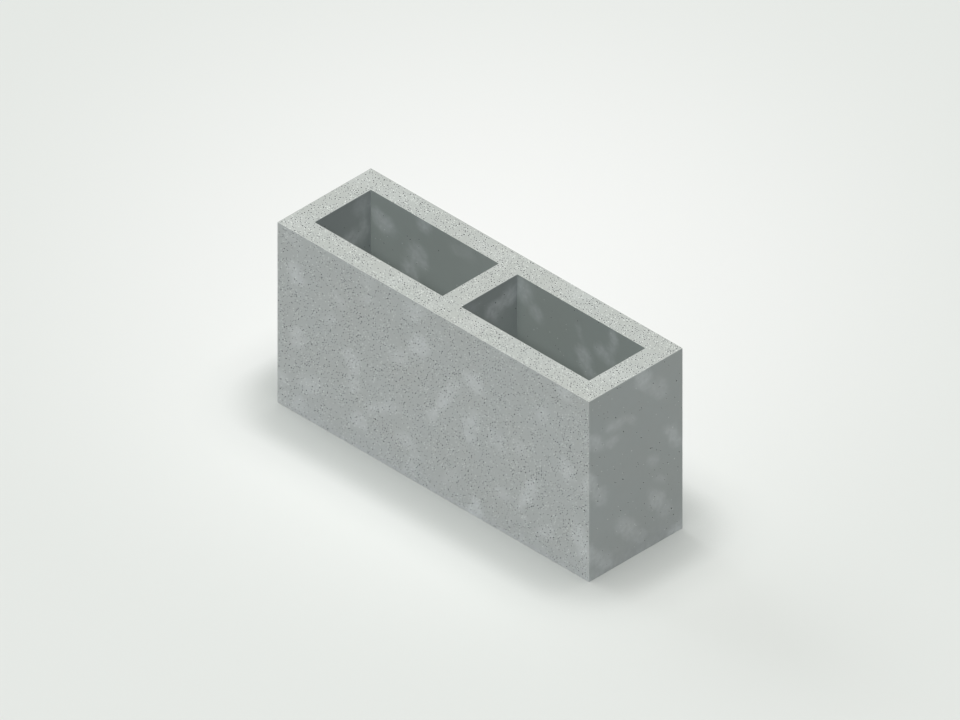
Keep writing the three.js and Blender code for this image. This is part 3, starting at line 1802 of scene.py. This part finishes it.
        # Dust and painted shade inside the pinholes, darkest at their bottoms.
        depth = add_node(tree, "ShaderNodeAttribute", {"attribute_name": PIT_LAYER})
        mixed = add_node(
            tree,
            "ShaderNodeMix",
            {"data_type": "RGBA"},
            {"Factor": depth.outputs["Fac"], "A": ringed.outputs["Result"], "B": linear(self.hollow)},
        )
        return mixed.outputs["Result"]


# ---- The studio -----------------------------------------------------------


@dataclass(frozen=True)
class SoftSun:
    """A far softbox that lights everything from one direction.

    Attributes:
        name: what the lamp is called.
        share: how bright it makes a white surface that faces it, 1 for white.
        elevation: how high it stands, in degrees.
        heading: which way it stands, in degrees round from +X towards +Y.
        disc: how wide it looks, in degrees.
        colour: the tint of its light.
        flagged: whether flags keep its light off the floor.
    """

    name: str
    share: float
    elevation: float
    heading: float
    disc: float
    colour: str = "#ffffff"
    flagged: bool = False

    def hang(self, within_flags: bpy.types.Collection) -> None:
        """Puts the lamp in the scene. A sun of pi W/m2 makes a white surface that faces it white.

        Args:
            within_flags: the only things that it lights if it is flagged.
        """
        lamp = bpy.data.lights.new(self.name, "SUN")
        lamp.energy = self.share * math.pi
        lamp.color = linear(self.colour)[:3]
        lamp.angle = math.radians(self.disc)
        hung = bpy.data.objects.new(self.name, lamp)
        hung.rotation_euler = (math.radians(90 - self.elevation), 0, math.radians(self.heading + 90))
        if self.flagged:
            hung.light_linking.receiver_collection = within_flags
        bpy.context.scene.collection.objects.link(hung)


@dataclass(frozen=True)
class MattEmulsionWithPaintedLight:
    """Pale emulsion paint rolled on board, as a studio floor has it.

    Its chalky film mirrors nothing, so it has no highlight. It is painted a little brighter in a pool
    round where the light falls, as a painted pool of light, and darker beside the block, as painted
    shade that only the camera is shown.

    Attributes:
        near: its colour in the middle of the painted pool of light.
        far: its colour further off, painted darker as if less light got there.
        gap: the colour of the painted shade, deep in a gap beside the block.
        fades: where the fading starts and where it ends, from the middle of the bright pool.
        pool: the proportions of that pool, its long way second.
        pool_middle: where its middle is.
        pool_turn: how far it is turned, in degrees.
        gap_reach: how near something has to stand for the painted shade to darken the floor.
        gap_closed: how little of the open sky is left where the painted shade is darkest, 1 for all of it.
        gap_samples: how many ways are tried to see what stands near.
    """

    # Painted light and shade: near and far paint a pool of light, and gap paints the shade by the block.
    near: str = "#f3f5f6"
    far: str = "#e2e6e5"
    gap: str = "#d4d8d7"
    fades: tuple[float, float] = (0.0, 0.574)
    pool: tuple[float, float, float] = (1.0, 1.17, 1.0)
    pool_middle: tuple[float, float, float] = (-216 * MM, 216 * MM, 0.0)
    pool_turn: float = 45.0
    gap_reach: float = 57 * MM
    gap_closed: float = 0.86
    gap_samples: int = 12

    def dress(self, piece: bpy.types.Object) -> None:
        """Gives a piece this paint.

        Args:
            piece: the piece.
        """
        material = bpy.data.materials.new("matt emulsion with painted light and shade")
        material.use_nodes = True
        tree = material.node_tree
        tree.nodes.clear()
        # The painted pool of light, darkened by painted shade beside the block.
        shaded = add_node(
            tree,
            "ShaderNodeMix",
            {"data_type": "RGBA"},
            {"Factor": self._painted_shade_share(tree), "A": self._painted_light_pool(tree), "B": linear(self.gap)},
        )
        shader = add_node(tree, "ShaderNodeBsdfDiffuse", {}, {"Color": shaded.outputs["Result"]})
        add_node(tree, "ShaderNodeOutputMaterial", {}, {"Surface": shader.outputs["BSDF"]})
        piece.data.materials.append(material)

    def _painted_light_pool(self, tree: bpy.types.NodeTree) -> bpy.types.NodeSocket:
        """Colours the open floor, painted brighter in a pool of light and darker further off.

        Args:
            tree: the material's node tree.

        Returns:
            The colour.
        """
        # Painted light: brighter in a pool round its middle, darker further off.
        place = add_node(
            tree,
            "ShaderNodeMapping",
            {"vector_type": "TEXTURE"},
            {
                "Vector": add_node(tree, "ShaderNodeTexCoord").outputs["Object"],
                "Location": self.pool_middle,
                "Rotation": (0.0, 0.0, math.radians(self.pool_turn)),
                "Scale": self.pool,
            },
        )
        off = add_node(
            tree,
            "ShaderNodeVectorMath",
            {"operation": "LENGTH"},
            {0: place.outputs["Vector"]},
        )
        fade = add_node(
            tree,
            "ShaderNodeMapRange",
            {"interpolation_type": "SMOOTHSTEP"},
            {"Value": off.outputs["Value"], "From Min": self.fades[0], "From Max": self.fades[1]},
        )
        colour = add_node(
            tree,
            "ShaderNodeMix",
            {"data_type": "RGBA"},
            {"Factor": fade.outputs["Result"], "A": linear(self.near), "B": linear(self.far)},
        )
        return colour.outputs["Result"]

    def _painted_shade_share(self, tree: bpy.types.NodeTree) -> bpy.types.NodeSocket:
        """Finds how deep in a gap the floor is, for the painted shade that only the camera is shown.

        Args:
            tree: the material's node tree.

        Returns:
            Zero where it is open, and one at the deepest.
        """
        # Painted shade: the floor is painted darker where the block stands near, for camera rays only.
        nearby = add_node(
            tree,
            "ShaderNodeAmbientOcclusion",
            {"samples": self.gap_samples},
            {"Distance": self.gap_reach},
        )
        closed = add_node(
            tree,
            "ShaderNodeMapRange",
            {},
            {"Value": nearby.outputs["AO"], "From Min": 1.0, "From Max": self.gap_closed},
        )
        seen = add_node(tree, "ShaderNodeLightPath").outputs["Is Camera Ray"]
        share = add_node(
            tree,
            "ShaderNodeMath",
            {"operation": "MULTIPLY"},
            {0: closed.outputs["Result"], 1: seen},
        )
        return share.outputs["Value"]


@dataclass(frozen=True)
class Studio:
    """A pale floor without an end, an even dome of light and the softboxes.

    Attributes:
        dome: how bright the dome is, 1 for white.
        dome_colour: the tint of its light.
        lamps: the softboxes.
        paint: the floor's finish, with its painted pool of light and painted shade.
        horizon: what shows past the floor's end, the same as the far floor looks.
        floor_radius: how far the floor goes.
        floor_points: how many points stand round it.
    """

    dome: float = 0.11
    dome_colour: str = "#f0f7ff"
    lamps: tuple[SoftSun, ...] = (
        SoftSun("key", share=0.42, elevation=47, heading=-84, disc=14, colour="#f9fdff", flagged=True),
        SoftSun("overhead", share=0.87, elevation=90, heading=0, disc=50, colour="#fffdf8"),
        SoftSun("fill", share=0.14, elevation=30, heading=178, disc=30, colour="#f9fdff"),
    )
    paint: MattEmulsionWithPaintedLight = MattEmulsionWithPaintedLight()
    horizon: str = "#e5e9e5"
    floor_radius: float = 14.0
    floor_points: int = 64

    def lay_floor(self) -> None:
        """Lays a round floor under the block."""
        rim = [
            Vector((math.cos(turn), math.sin(turn), 0)) * self.floor_radius
            for turn in (2 * math.pi * k / self.floor_points for k in range(self.floor_points))
        ]
        made = bpy.data.meshes.new("floor")
        made.from_pydata([tuple(p) for p in rim], [], [tuple(range(len(rim)))])
        floor = bpy.data.objects.new("floor", made)
        self.paint.dress(floor)
        bpy.context.scene.collection.objects.link(floor)
        floor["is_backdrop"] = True

    def raise_dome(self) -> None:
        """Lights the scene evenly from all round, and shows the camera the horizon instead."""
        world = bpy.data.worlds.new("dome")
        bpy.context.scene.world = world
        world.use_nodes = True
        tree = world.node_tree
        tree.nodes.clear()
        light = add_node(
            tree,
            "ShaderNodeBackground",
            {},
            {"Color": linear(self.dome_colour), "Strength": self.dome},
        )
        view = add_node(tree, "ShaderNodeBackground", {}, {"Color": linear(self.horizon)})
        ray = add_node(tree, "ShaderNodeLightPath")
        mirrored = add_node(
            tree,
            "ShaderNodeMath",
            {"operation": "MAXIMUM"},
            {0: ray.outputs["Is Glossy Ray"], 1: ray.outputs["Is Transmission Ray"]},
        )
        shown = add_node(
            tree,
            "ShaderNodeMath",
            {"operation": "MAXIMUM"},
            {0: ray.outputs["Is Camera Ray"], 1: mirrored.outputs["Value"]},
        )
        mixed = add_node(
            tree,
            "ShaderNodeMixShader",
            {},
            {0: shown.outputs["Value"], 1: light.outputs["Background"], 2: view.outputs["Background"]},
        )
        add_node(tree, "ShaderNodeOutputWorld", {}, {"Surface": mixed.outputs["Shader"]})

    def set_up(self, piece: bpy.types.Object) -> None:
        """Puts the studio round a piece.

        Args:
            piece: what the flagged lamps light.
        """
        self.lay_floor()
        self.raise_dome()
        within_flags = bpy.data.collections.new("within the flags")
        within_flags.objects.link(piece)
        for lamp in self.lamps:
            lamp.hang(within_flags)
        bpy.context.scene.view_settings.view_transform = "Standard"


@dataclass(frozen=True)
class IsometricView:
    """A camera without perspective, which sees the three axes at equal lengths.

    Attributes:
        azimuth: how far round from the front it stands, in degrees.
        elevation: how high it stands, in degrees.
        width: how much of the scene the picture's width shows.
        distance: how far off it stands.
        rise: how far above the block's middle it aims, along the picture.
    """

    azimuth: float = 45.0
    elevation: float = math.degrees(math.atan(math.sqrt(0.5)))
    width: float = 870.93 * MM
    distance: float = 2.0
    rise: float = 13.7 * MM

    def place(self, middle: Vector) -> None:
        """Puts the camera in the scene.

        Args:
            middle: the block's middle, which it aims by.
        """
        lens = bpy.data.cameras.new("camera")
        lens.type = "ORTHO"
        lens.ortho_scale = self.width
        camera = bpy.data.objects.new("camera", lens)
        camera.rotation_euler = (math.radians(90 - self.elevation), 0, math.radians(self.azimuth))
        turn = camera.rotation_euler.to_matrix()
        camera.location = middle + turn @ Vector((0, self.rise, self.distance))
        bpy.context.scene.collection.objects.link(camera)
        bpy.context.scene.camera = camera


def main() -> None:
    """Builds the block, dresses it, and sets up the studio and the camera."""
    logging.basicConfig(level=logging.INFO, format="%(name)s: %(message)s")
    sizes = BlockSizes.from_frame()
    block = HollowBlock(sizes)
    block.build()
    piece = block.mesh()
    DryCastConcrete().dress(piece)
    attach(piece, "root")
    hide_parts(BLOCK_NODE)
    log.info("%s: rides on root and stands for %s", piece.name, BLOCK_NODE)
    Studio().set_up(piece)
    IsometricView().place(UP * (sizes.height / 2))
    log.info("floor, dome, lamps and camera are in place")


if __name__ == "__main__":
    main()
    boxes = {"cad": cad_bounds, "visual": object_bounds()}
    {name: [list(corner) for corner in box] for name, box in boxes.items()}
